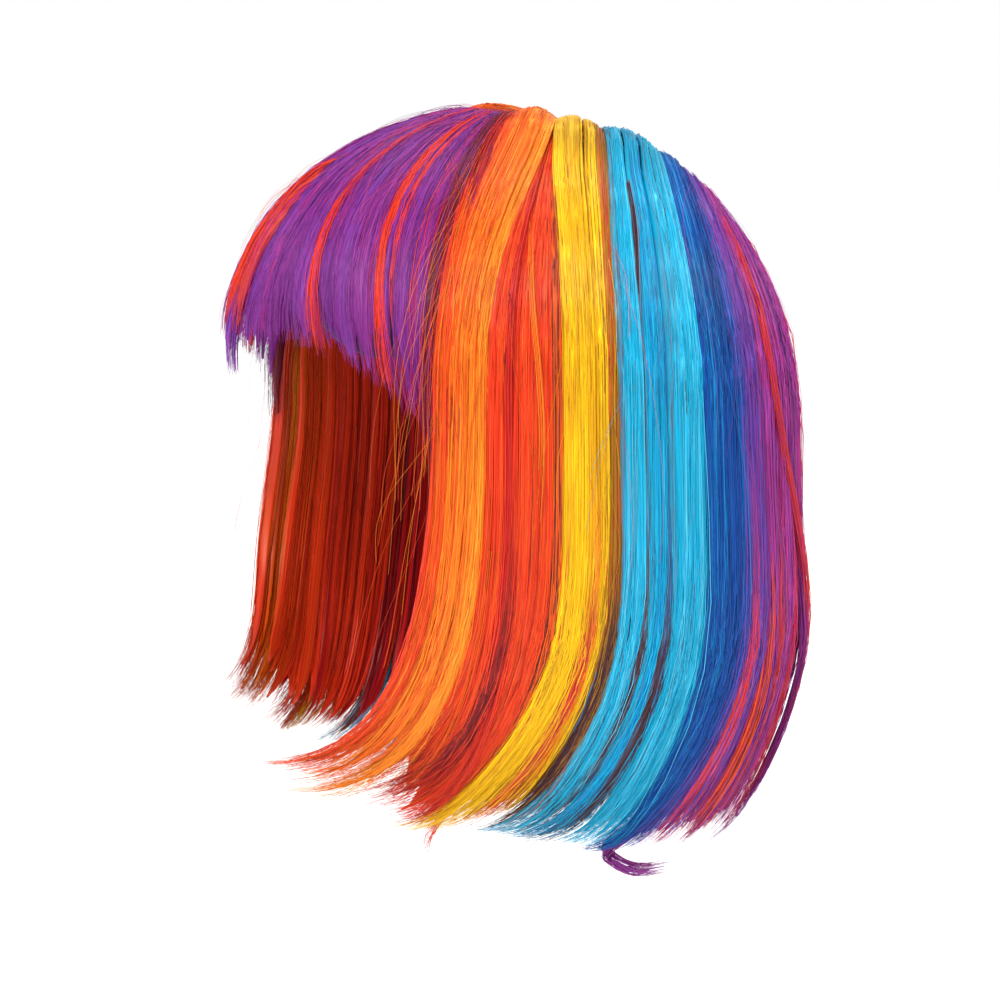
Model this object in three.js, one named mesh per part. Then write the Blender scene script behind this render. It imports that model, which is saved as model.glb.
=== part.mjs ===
// Bobbed rainbow wig: a thin open cap that carries combed hair in coloured sections.
// Millimetres. The origin is the underside of the cap's crown, +Z is up,
// the face looks along -Y and the wearer's left is +X.
import * as THREE from "three";

// Head cap, inner half sizes
const CAP = { halfWidth: 75, halfLength: 98, height: 96, back: 2, wall: 1.6 };
const CAP_RIM = [
  { hang: 0, z: -44 },
  { hang: 40, z: -58 },
  { hang: 75, z: -92 },
  { hang: 110, z: -92 },
  { hang: 150, z: -126 },
  { hang: 180, z: -132 },
];
const CAP_COLUMNS = 36;
const CAP_ROWS = 9;

// Outer form of the hair over the skull, and the bed it lies on above the cap
const CROWN = { halfWidth: 88, halfLength: 124, back: 6 };
const BED = { halfWidth: 77, halfLength: 100, back: 2, top: 2, level: -96 };
const FRINGE = { halfWidth: 88, halfLength: 118.5, back: 5 };
const FRINGE_BED = { halfWidth: 80.5, halfLength: 109, back: 5, top: 3.4 };

// Where the hair falls: one row per hang angle, 0 at the face and 180 at the nape.
// top and level are the crown and the widest height, bend is how late the tips turn under,
// and curl is the share of its downward slope that a lock has lost at its tip.
const FALL = [
  { hang: 54, rootY: 15, tipX: 14, tipY: -115, tipZ: -238, bend: 3.2, curl: 0.97, top: 13.5, level: -96 },
  { hang: 62, rootY: 19, tipX: 27, tipY: -101, tipZ: -249, bend: 3.1, curl: 0.94, top: 13.5, level: -96 },
  { hang: 67, rootY: 21.5, tipX: 45, tipY: -79, tipZ: -260, bend: 3, curl: 0.96, top: 13.5, level: -96 },
  { hang: 78, rootY: 29, tipX: 63, tipY: -60, tipZ: -260, bend: 3, curl: 0.95, top: 12.5, level: -96 },
  { hang: 90, rootY: 42, tipX: 69, tipY: -37, tipZ: -263, bend: 3, curl: 0.93, top: 12, level: -98 },
  { hang: 104, rootY: 60, tipX: 68, tipY: -2, tipZ: -272, bend: 3, curl: 0.88, top: 11.5, level: -102 },
  { hang: 118, rootY: 76, tipX: 62, tipY: 29, tipZ: -278, bend: 3, curl: 0.82, top: 11, level: -108 },
  { hang: 145, rootY: 90, tipX: 41, tipY: 74, tipZ: -283, bend: 3.1, curl: 0.72, top: 11, level: -114 },
  { hang: 180, rootY: 98, tipX: 0, tipY: 97, tipZ: -284, bend: 3.1, curl: 0.65, top: 11, level: -116 },
];
const CURL_POWER = 5;
const FRINGE_FALL = [
  { hang: 0, rootX: 0, rootY: 11, tipZ: -80, top: 14 },
  { hang: 25, rootX: 0.5, rootY: 11.5, tipZ: -74, top: 14 },
  { hang: 40, rootX: 0.5, rootY: 12.2, tipZ: -84, top: 14 },
  { hang: 53, rootX: 0.5, rootY: 13, tipZ: -105, top: 14 },
];
const PARTING_X = 0.3;
// Share of the length that lies on the skull, the flare below it and the tuck of the inner tips
const SKULL_SHARE = 0.45;
const FLARE = 0.05;
const FLARE_END = 0.9;
const TIP_TUCK = 9;
const TIP_LIFT = 4.5;
// Half the gap between sections, in degrees of hang
const SECTION_GAP = 0.3;

// The right front is cut shorter and swings further forward
const RIGHT_FRONT = { raise: 27, forward: 3, fadesAt: 112 };

// Locks: depth of the grooves, where the grooves end and how far the tips differ, as shares
const GROOVE = 0.15;
const GROOVE_END = 0.965;
const TIP_SPREAD = 0.012;

// Layers, as shares of the hair's depth (low, high) and of its length (the rest).
// The top layer lifts off the cap to leave room for the under layer, and settle is
// where a section that is wide at its root has drawn in to its hanging width.
const TOP_LAYER = {
  root: 0.12, foot: 0.46, tipLow: 0.6, tipHigh: 0.84, rows: 14,
  start: 0, liftFrom: 0.12, liftTo: 0.28, settleFrom: 0.04, settleTo: 0.4, thinFrom: 0.6,
};
const UNDER_LAYER = {
  low: 0.13, high: 0.32, tipLow: 0.16, tipHigh: 0.3, rows: 10,
  start: 0.37, crestEnd: 0.96, grooveEnd: 0.88, thinFrom: 0.6,
};
const FRINGE_LAYER = { low: 0, tipLow: 0.35, tipHigh: 0.8, rows: 10, start: 0.02, thinFrom: 0.5 };

// Colours: hair fibre is a little glossy, the cap is matt
const COLOURS = {
  purple: 0x7d2f8c,
  red: 0xd23c22,
  wine: 0x8f2132,
  orange: 0xf08a2e,
  yellow: 0xf6cd2c,
  cyan: 0x1fa8d4,
  blue: 0x1d5aa8,
  violet: 0x6a4796,
  ember: 0xb93c4a,
  cap: 0x2a262e,
};

// Coloured sections of the top layer: hang angles at the root and where they hang
const SECTIONS = [
  { name: "orange", colour: "orange", rootFrom: 54, rootTo: 74, from: 54, to: 64, locks: 3 },
  { name: "red", colour: "red", rootFrom: 74, rootTo: 76.5, from: 64, to: 76.5, locks: 3 },
  { name: "yellow", colour: "yellow", rootFrom: 76.5, rootTo: 87.5, from: 76.5, to: 87.5, locks: 3 },
  { name: "cyan", colour: "cyan", rootFrom: 87.5, rootTo: 109, from: 87.5, to: 109, locks: 5 },
  { name: "blue", colour: "blue", rootFrom: 109, rootTo: 119, from: 109, to: 119, locks: 3 },
  { name: "violet", colour: "violet", rootFrom: 119, rootTo: 128, from: 119, to: 128, locks: 2 },
  { name: "back_purple", colour: "purple", rootFrom: 128, rootTo: 180, from: 128, to: 180, locks: 6 },
];
const UNDER_SECTIONS = [
  { name: "under_red", colour: "red", from: 56, to: 116, columns: 9 },
  { name: "under_ember", colour: "ember", from: 116, to: 180, columns: 9 },
];
const FRINGE_SECTIONS = [
  { name: "right_temple_wine", colour: "wine", from: -53, to: -49.5, locks: 1 },
  { name: "fringe_purple_far_right", colour: "purple", from: -49.5, to: -42, locks: 1 },
  { name: "fringe_red_far_right", colour: "red", from: -42, to: -39.5, locks: 1 },
  { name: "fringe_purple_right", colour: "purple", from: -39.5, to: -7, locks: 5 },
  { name: "fringe_red_right", colour: "red", from: -7, to: -2, locks: 1 },
  { name: "fringe_purple_middle", colour: "purple", from: -2, to: 26, locks: 4 },
  { name: "fringe_red_left", colour: "red", from: 26, to: 28.6, locks: 1 },
  { name: "fringe_purple_left", colour: "purple", from: 28.6, to: 39.5, locks: 2 },
  { name: "fringe_red_far_left", colour: "red", from: 39.5, to: 42, locks: 1 },
  { name: "fringe_purple_far_left", colour: "purple", from: 42, to: 49.5, locks: 1 },
  { name: "left_temple_wine", colour: "wine", from: 49.5, to: 53, locks: 1 },
];

const mix = THREE.MathUtils.lerp;
const ease = THREE.MathUtils.smoothstep;
const radians = THREE.MathUtils.degToRad;

// Smooth reading of a table by its hang angle, every column at once
function readTable(rows, hang) {
  const last = rows.length - 1;
  const at = THREE.MathUtils.clamp(hang, rows[0].hang, rows[last].hang);
  let i = 0;
  while (i < last - 1 && rows[i + 1].hang <= at) {
    i += 1;
  }
  const width = rows[i + 1].hang - rows[i].hang;
  const t = (at - rows[i].hang) / width;
  const slope = (key, k) => {
    const before = rows[Math.max(k - 1, 0)];
    const after = rows[Math.min(k + 1, last)];
    return (after[key] - before[key]) / (after.hang - before.hang);
  };
  const row = {};
  for (const key of Object.keys(rows[0])) {
    row[key] =
      (2 * t ** 3 - 3 * t ** 2 + 1) * rows[i][key] +
      (t ** 3 - 2 * t ** 2 + t) * width * slope(key, i) +
      (3 * t ** 2 - 2 * t ** 3) * rows[i + 1][key] +
      (t ** 3 - t ** 2) * width * slope(key, i + 1);
  }
  return row;
}

// A lock's way over a skull form: it leaves the root and arrives pointing straight down
function overSkull(form, rootX, rootY, hang, t) {
  const height = form.top - form.level;
  const start = new THREE.Vector3(rootX / form.halfWidth, (rootY - form.back) / form.halfLength, 0);
  start.z = Math.sqrt(Math.max(1 - start.lengthSq(), 0));
  const end = new THREE.Vector3(Math.sin(radians(hang)), -Math.cos(radians(hang)), 0);
  const bow = end.clone().setZ(1);
  const way = start.multiplyScalar((1 - t) ** 2);
  way.addScaledVector(bow, 2 * t * (1 - t)).addScaledVector(end, t * t).normalize();
  return new THREE.Vector3(
    way.x * form.halfWidth,
    way.y * form.halfLength + form.back,
    way.z * height + form.level,
  );
}

// One side's hair, on the form given: over the skull first, then hanging to the tip
function fallOn(form, row, hang, along, tuck, lift) {
  if (along <= SKULL_SHARE) {
    return overSkull(form, PARTING_X, row.rootY, hang, along / SKULL_SHARE);
  }
  const down = (along - SKULL_SHARE) / (1 - SKULL_SHARE);
  const sin = Math.sin(radians(hang));
  const cos = Math.cos(radians(hang));
  const flare = 1 + FLARE * Math.sin(Math.PI * Math.min(down / FLARE_END, 1)) ** 2;
  const slack = row.curl / CURL_POWER;
  const drop = (down - slack * down ** CURL_POWER) / (1 - slack);
  const turn = down ** row.bend;
  const wideX = form.halfWidth * sin;
  const wideY = -form.halfLength * cos;
  return new THREE.Vector3(
    wideX * flare + (row.tipX - tuck * sin - wideX) * turn,
    form.back + wideY * flare + (row.tipY + tuck * cos - form.back - wideY) * turn,
    mix(form.level, row.tipZ + lift, drop),
  );
}

// A point of the side hair by hang angle, share of its length and share of its depth
function sidePoint(side, hang, along, depth) {
  const row = readTable(FALL, hang);
  const outer = fallOn({ ...CROWN, top: row.top, level: row.level }, row, hang, along, 0, 0);
  const point = fallOn(BED, row, hang, along, TIP_TUCK, TIP_LIFT).lerp(outer, depth);
  if (side < 0) {
    const down = ease(along, SKULL_SHARE, 1);
    const share = down * Math.max(0, 1 - (hang - FALL[0].hang) / (RIGHT_FRONT.fadesAt - FALL[0].hang));
    point.y -= RIGHT_FRONT.forward * share;
    point.z += RIGHT_FRONT.raise * share;
  }
  point.x *= side;
  return point;
}

// A point of the fringe, the same way; negative hang angles are the wearer's right
function fringePoint(hang, along, depth) {
  const row = readTable(FRINGE_FALL, Math.abs(hang));
  const place = { top: row.top, level: row.tipZ };
  const outer = overSkull({ ...FRINGE, ...place }, row.rootX, row.rootY, Math.abs(hang), along);
  const bed = { ...FRINGE_BED, level: row.tipZ };
  const point = overSkull(bed, row.rootX, row.rootY, Math.abs(hang), along).lerp(outer, depth);
  point.x *= Math.sign(hang) || 1;
  return point;
}

// Closed sheet between an outer and an inner grid of points, walls all round
function closedSheet(columns, rows, outerAt, innerAt) {
  const points = [];
  for (const at of [outerAt, innerAt]) {
    for (let i = 0; i < columns; i += 1) {
      for (let j = 0; j < rows; j += 1) {
        points.push(...at(i, j).toArray());
      }
    }
  }
  const outer = (i, j) => i * rows + j;
  const inner = (i, j) => (columns + i) * rows + j;
  const faces = [];
  const quad = (a, b, c, d) => faces.push(a, b, c, a, c, d);
  for (let i = 0; i + 1 < columns; i += 1) {
    for (let j = 0; j + 1 < rows; j += 1) {
      quad(outer(i, j), outer(i, j + 1), outer(i + 1, j + 1), outer(i + 1, j));
      quad(inner(i, j), inner(i + 1, j), inner(i + 1, j + 1), inner(i, j + 1));
    }
    quad(outer(i, 0), outer(i + 1, 0), inner(i + 1, 0), inner(i, 0));
    quad(outer(i, rows - 1), inner(i, rows - 1), inner(i + 1, rows - 1), outer(i + 1, rows - 1));
  }
  for (let j = 0; j + 1 < rows; j += 1) {
    const end = columns - 1;
    quad(outer(0, j), inner(0, j), inner(0, j + 1), outer(0, j + 1));
    quad(outer(end, j), outer(end, j + 1), inner(end, j + 1), inner(end, j));
  }
  return outward(points, faces);
}

// Geometry with its faces turned outward
function outward(points, faces) {
  const corner = (k) => new THREE.Vector3().fromArray(points, 3 * faces[k]);
  let volume = 0;
  for (let k = 0; k < faces.length; k += 3) {
    volume += corner(k).dot(corner(k + 1).cross(corner(k + 2)));
  }
  const turned = volume < 0 ? faces.slice().reverse() : faces;
  const geometry = new THREE.BufferGeometry();
  geometry.setAttribute("position", new THREE.Float32BufferAttribute(points, 3));
  geometry.setIndex(turned);
  geometry.computeVertexNormals();
  return geometry;
}

function addPiece(wig, name, colour, geometry, roughness) {
  const material = new THREE.MeshStandardMaterial({ color: COLOURS[colour], roughness, metalness: 0 });
  const mesh = new THREE.Mesh(geometry, material);
  mesh.name = name;
  wig.add(mesh);
}

// Locks of one section: the crest of each lock stands proud and its tip runs on past the grooves
function lockShape(column, seed) {
  const crest = column % 2;
  const lock = (column - 1) / 2;
  const reach = 1 - TIP_SPREAD * (1 + Math.sin(2.4 * lock + seed));
  return { high: 1 - GROOVE * (1 - crest), end: crest ? reach : GROOVE_END };
}

function topSection(side, section, seed) {
  const layer = TOP_LAYER;
  const columns = 2 * section.locks + 1;
  const place = (i, j, upper) => {
    const shape = lockShape(i, seed);
    const along = mix(layer.start, shape.end, j / (layer.rows - 1));
    const across = i / (columns - 1);
    const settle = ease(along, layer.settleFrom, layer.settleTo);
    const from = mix(section.rootFrom, section.from, settle) + SECTION_GAP;
    const to = mix(section.rootTo, section.to, settle) - SECTION_GAP;
    const thin = ease(along, layer.thinFrom, 1);
    const lifted = mix(layer.root, layer.foot, ease(along, layer.liftFrom, layer.liftTo));
    const low = mix(lifted, layer.tipLow, thin);
    const high = mix(shape.high, layer.tipHigh, thin);
    return sidePoint(side, mix(from, to, across), along, upper ? high : low);
  };
  return closedSheet(columns, layer.rows, (i, j) => place(i, j, true), (i, j) => place(i, j, false));
}

function underSection(side, section) {
  const { low, high, tipLow, tipHigh, rows, start, crestEnd, grooveEnd, thinFrom } = UNDER_LAYER;
  const place = (i, j, upper) => {
    const along = mix(start, i % 2 ? crestEnd : grooveEnd, j / (rows - 1));
    const across = i / (section.columns - 1);
    const hang = mix(section.from + SECTION_GAP, section.to - SECTION_GAP, across);
    const thin = ease(along, thinFrom, 1);
    return sidePoint(side, hang, along, upper ? mix(high, tipHigh, thin) : mix(low, tipLow, thin));
  };
  return closedSheet(section.columns, rows, (i, j) => place(i, j, true), (i, j) => place(i, j, false));
}

function fringeSection(section, seed) {
  const { low, tipLow, tipHigh, rows, start, thinFrom } = FRINGE_LAYER;
  const columns = 2 * section.locks + 1;
  const place = (i, j, upper) => {
    const shape = lockShape(i, seed);
    const along = mix(start, shape.end, j / (rows - 1));
    const hang = mix(section.from + SECTION_GAP, section.to - SECTION_GAP, i / (columns - 1));
    const thin = ease(along, thinFrom, 1);
    return fringePoint(hang, along, upper ? mix(shape.high, tipHigh, thin) : mix(low, tipLow, thin));
  };
  return closedSheet(columns, rows, (i, j) => place(i, j, true), (i, j) => place(i, j, false));
}

// The cap: a skull-shaped shell, cut low at the nape and high over the brow
function capShell() {
  const spot = (column, row, grow) => {
    const turn = (360 * column) / CAP_COLUMNS;
    const hang = turn > 180 ? 360 - turn : turn;
    const rim = readTable(CAP_RIM, hang).z;
    const polar = (Math.acos((rim + CAP.height) / CAP.height) * row) / CAP_ROWS;
    return new THREE.Vector3(
      (CAP.halfWidth + grow) * Math.sin(polar) * Math.sin(radians(turn)),
      CAP.back - (CAP.halfLength + grow) * Math.sin(polar) * Math.cos(radians(turn)),
      (CAP.height + grow) * Math.cos(polar) - CAP.height,
    );
  };
  const points = [];
  for (const grow of [CAP.wall, 0]) {
    points.push(...spot(0, 0, grow).toArray());
    for (let i = 0; i < CAP_COLUMNS; i += 1) {
      for (let j = 1; j <= CAP_ROWS; j += 1) {
        points.push(...spot(i, j, grow).toArray());
      }
    }
  }
  const half = 1 + CAP_COLUMNS * CAP_ROWS;
  const at = (layer, i, j) => layer * half + (j === 0 ? 0 : 1 + (i % CAP_COLUMNS) * CAP_ROWS + j - 1);
  const faces = [];
  for (let i = 0; i < CAP_COLUMNS; i += 1) {
    faces.push(at(0, i, 0), at(0, i, 1), at(0, i + 1, 1));
    faces.push(at(1, i, 0), at(1, i + 1, 1), at(1, i, 1));
    for (let j = 1; j < CAP_ROWS; j += 1) {
      faces.push(at(0, i, j), at(0, i, j + 1), at(0, i + 1, j + 1));
      faces.push(at(0, i, j), at(0, i + 1, j + 1), at(0, i + 1, j));
      faces.push(at(1, i, j), at(1, i + 1, j + 1), at(1, i, j + 1));
      faces.push(at(1, i, j), at(1, i + 1, j), at(1, i + 1, j + 1));
    }
    faces.push(at(0, i, CAP_ROWS), at(1, i, CAP_ROWS), at(1, i + 1, CAP_ROWS));
    faces.push(at(0, i, CAP_ROWS), at(1, i + 1, CAP_ROWS), at(0, i + 1, CAP_ROWS));
  }
  return outward(points, faces);
}

// Assembly
const wig = new THREE.Group();
wig.name = "cosplay_wig";
addPiece(wig, "cap", "cap", capShell(), 0.9);
FRINGE_SECTIONS.forEach((section, k) => {
  addPiece(wig, section.name, section.colour, fringeSection(section, 1.7 * k), 0.4);
});
for (const [prefix, side] of [["left", 1], ["right", -1]]) {
  SECTIONS.forEach((section, k) => {
    addPiece(wig, `${prefix}_${section.name}`, section.colour, topSection(side, section, 1.3 * k + side), 0.4);
  });
  UNDER_SECTIONS.forEach((section) => {
    addPiece(wig, `${prefix}_${section.name}`, section.colour, underSection(side, section), 0.5);
  });
}

export default wig;
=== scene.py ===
# Rainbow bob wig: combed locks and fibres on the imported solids, section by section, over a knitted cap.
import math

import bpy
import numpy as np
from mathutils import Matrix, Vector


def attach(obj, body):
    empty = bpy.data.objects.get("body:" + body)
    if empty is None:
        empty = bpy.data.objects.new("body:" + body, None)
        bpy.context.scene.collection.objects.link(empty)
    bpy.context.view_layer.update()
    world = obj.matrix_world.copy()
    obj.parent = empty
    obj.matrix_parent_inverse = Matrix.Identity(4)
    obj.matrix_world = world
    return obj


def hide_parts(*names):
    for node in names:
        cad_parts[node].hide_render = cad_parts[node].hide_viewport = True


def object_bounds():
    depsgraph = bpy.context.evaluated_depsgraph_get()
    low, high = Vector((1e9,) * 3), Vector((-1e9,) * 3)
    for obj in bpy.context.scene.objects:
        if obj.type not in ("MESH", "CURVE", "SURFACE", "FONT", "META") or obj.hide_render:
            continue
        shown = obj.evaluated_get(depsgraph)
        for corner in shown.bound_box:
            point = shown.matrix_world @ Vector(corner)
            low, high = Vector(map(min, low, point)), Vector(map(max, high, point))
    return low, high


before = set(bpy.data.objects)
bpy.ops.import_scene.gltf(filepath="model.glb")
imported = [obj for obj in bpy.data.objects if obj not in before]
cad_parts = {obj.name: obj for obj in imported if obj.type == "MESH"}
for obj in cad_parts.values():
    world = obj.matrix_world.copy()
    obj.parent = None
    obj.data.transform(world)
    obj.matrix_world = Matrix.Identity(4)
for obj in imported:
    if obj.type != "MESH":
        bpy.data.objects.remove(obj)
cad_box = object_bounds()

# Sizes are millimetres until a mesh is written
MM = 0.001

# The hair's outer form over the skull, and the bed it lies on above the cap
CROWN = dict(half_width=88.0, half_length=124.0, back=6.0)
BED = dict(half_width=77.0, half_length=100.0, back=2.0, top=2.0, level=-96.0)
FRINGE = dict(half_width=88.0, half_length=118.5, back=5.0)
FRINGE_BED = dict(half_width=80.5, half_length=109.0, back=5.0, top=3.4)
CAP = dict(half_width=75.0, half_length=98.0, height=96.0, back=2.0, wall=1.6)

# Where the hair falls: a row for each hang angle, 0 at the face and 180 at the nape
FALL_COLUMNS = ("hang", "root_y", "tip_x", "tip_y", "tip_z", "bend", "curl", "top", "level")
FALL = np.array([
    (54, 15, 14, -115, -238, 3.2, 0.97, 13.5, -96),
    (62, 19, 27, -101, -249, 3.1, 0.94, 13.5, -96),
    (67, 21.5, 45, -79, -260, 3.0, 0.96, 13.5, -96),
    (78, 29, 63, -60, -260, 3.0, 0.95, 12.5, -96),
    (90, 42, 69, -37, -263, 3.0, 0.93, 12.0, -98),
    (104, 60, 68, -2, -272, 3.0, 0.88, 11.5, -102),
    (118, 76, 62, 29, -278, 3.0, 0.82, 11.0, -108),
    (145, 90, 41, 74, -283, 3.1, 0.72, 11.0, -114),
    (180, 98, 0, 97, -284, 3.1, 0.65, 11.0, -116),
])
CURL_POWER = 5
FRINGE_COLUMNS = ("hang", "root_x", "root_y", "tip_z", "top")
FRINGE_FALL = np.array([
    (0, 0.0, 11.0, -80, 14),
    (25, 0.5, 11.5, -74, 14),
    (40, 0.5, 12.2, -84, 14),
    (53, 0.5, 13.0, -105, 14),
])
CAP_COLUMNS = ("hang", "rim")
CAP_RIM = np.array([(0, -44), (40, -58), (75, -92), (110, -92), (150, -126), (180, -132)], float)
PARTING_X = 0.05
SKULL_SHARE = 0.45
FLARE = 0.05
FLARE_END = 0.9
TIP_TUCK = 9.0
TIP_LIFT = 4.5
RIGHT_FRONT = dict(rise=27.0, forward=3.0, fades_at=112.0)
HEAD_CENTRE = np.array((0.0, 4.0, -110.0))

# Colours, sRGB
COLOURS = dict(
    # plum is a darker purple that also stands in for painted shade in the fringe
    purple=(135, 40, 141), plum=(96, 28, 114), mauve=(160, 54, 146), magenta=(186, 34, 100),
    grape=(122, 58, 158), violet=(104, 64, 162),
    wine=(116, 12, 26), red=(230, 58, 22), scarlet=(190, 22, 22), ember=(206, 58, 44),
    orange=(248, 134, 28), amber=(232, 90, 16), tangerine=(252, 164, 40),
    yellow=(250, 198, 12), gold=(232, 172, 14), olive=(164, 112, 20), brown=(74, 36, 42),
    cyan=(6, 178, 218), azure=(2, 136, 200), ice=(84, 202, 234), steel=(100, 128, 156),
    blue=(12, 82, 170), navy=(12, 50, 120), cap_cloth=(98, 90, 102),
)


def linear(srgb):
    value = np.asarray(srgb, float) / 255.0
    return np.where(value <= 0.04045, value / 12.92, ((value + 0.055) / 1.055) ** 2.4)


def mix(a, b, share):
    return a + (b - a) * share


def ease(value, low, high):
    share = np.clip((value - low) / (high - low), 0.0, 1.0)
    return share * share * (3.0 - 2.0 * share)


def hump(value, place, width):
    return np.exp(-(((value - place) / width) ** 2))


def unit(vectors):
    return vectors / np.maximum(np.linalg.norm(vectors, axis=-1, keepdims=True), 1e-9)


# The flow of the hair

def read_table(columns, rows, hang):
    """Every column of a table at the values given for its first one, on a smooth curve."""
    knots = rows[:, 0]
    before = np.maximum(np.arange(len(rows)) - 1, 0)
    after = np.minimum(np.arange(len(rows)) + 1, len(rows) - 1)
    slopes = (rows[after] - rows[before]) / (knots[after] - knots[before])[:, None]
    hang = np.clip(hang, knots[0], knots[-1])
    i = np.clip(np.searchsorted(knots, hang, side="right") - 1, 0, len(rows) - 2)
    width = (knots[i + 1] - knots[i])[..., None]
    t = (hang - knots[i])[..., None] / width
    value = (2 * t**3 - 3 * t**2 + 1) * rows[i] + (t**3 - 2 * t**2 + t) * width * slopes[i]
    value = value + (3 * t**2 - 2 * t**3) * rows[i + 1] + (t**3 - t**2) * width * slopes[i + 1]
    return {name: value[..., k] for k, name in enumerate(columns)}


def over_skull(form, root_x, root_y, hang, t):
    """A lock's way over a skull form: it leaves the root and arrives pointing straight down."""
    start_x = root_x / form["half_width"]
    start_y = (root_y - form["back"]) / form["half_length"]
    start_z = np.sqrt(np.maximum(1.0 - start_x**2 - start_y**2, 0.0))
    leave, bow, arrive = (1 - t) ** 2, 2 * t * (1 - t), t * t
    x = leave * start_x + (bow + arrive) * np.sin(np.radians(hang))
    y = leave * start_y - (bow + arrive) * np.cos(np.radians(hang))
    z = leave * start_z + bow
    size = np.sqrt(x * x + y * y + z * z)
    return np.stack([
        x / size * form["half_width"],
        y / size * form["half_length"] + form["back"],
        z / size * (form["top"] - form["level"]) + form["level"],
    ], axis=-1)


def fall_on(form, row, hang, along, tuck, lift):
    """Side hair on a form: over the skull first, then hanging to its tip."""
    skull = over_skull(form, PARTING_X, row["root_y"], hang, np.minimum(along / SKULL_SHARE, 1.0))
    down = np.maximum((along - SKULL_SHARE) / (1.0 - SKULL_SHARE), 0.0)
    sin, cos = np.sin(np.radians(hang)), np.cos(np.radians(hang))
    flare = 1.0 + FLARE * np.sin(np.pi * np.minimum(down / FLARE_END, 1.0)) ** 2
    turn = down ** row["bend"]
    slack = row["curl"] / CURL_POWER
    drop = (down - slack * down**CURL_POWER) / (1.0 - slack)
    wide_x, wide_y = form["half_width"] * sin, -form["half_length"] * cos
    hanging = np.stack([
        wide_x * flare + (row["tip_x"] - tuck * sin - wide_x) * turn,
        form["back"] + wide_y * flare + (row["tip_y"] + tuck * cos - form["back"] - wide_y) * turn,
        mix(form["level"], row["tip_z"] + lift, drop),
    ], axis=-1)
    return np.where((along <= SKULL_SHARE)[..., None], skull, hanging)


def side_point(side, hang, along, depth):
    """Points of the side hair by hang angle, share of length and share of depth."""
    row = read_table(FALL_COLUMNS, FALL, hang)
    outer = fall_on(dict(CROWN, top=row["top"], level=row["level"]), row, hang, along, 0.0, 0.0)
    bed = fall_on(BED, row, hang, along, TIP_TUCK, TIP_LIFT)
    point = mix(bed, outer, depth[..., None])
    if side < 0:
        first = FALL[0, 0]
        near = np.clip(1.0 - (hang - first) / (RIGHT_FRONT["fades_at"] - first), 0.0, 1.0)
        share = ease(along, SKULL_SHARE, 1.0) * near
        point[..., 1] -= RIGHT_FRONT["forward"] * share
        point[..., 2] += RIGHT_FRONT["rise"] * share
    point[..., 0] *= side
    return point


def fringe_point(side, hang, along, depth):
    """Points of the fringe, the same way; a negative hang angle is the wearer's right."""
    away = np.abs(hang)
    row = read_table(FRINGE_COLUMNS, FRINGE_FALL, away)
    form = dict(FRINGE, top=row["top"], level=row["tip_z"])
    outer = over_skull(form, row["root_x"], row["root_y"], away, along)
    bed = over_skull(dict(FRINGE_BED, level=row["tip_z"]), row["root_x"], row["root_y"], away, along)
    point = mix(bed, outer, depth[..., None])
    point[..., 0] *= side * np.where(hang < 0, -1.0, 1.0)
    return point


# Meshes

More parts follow.
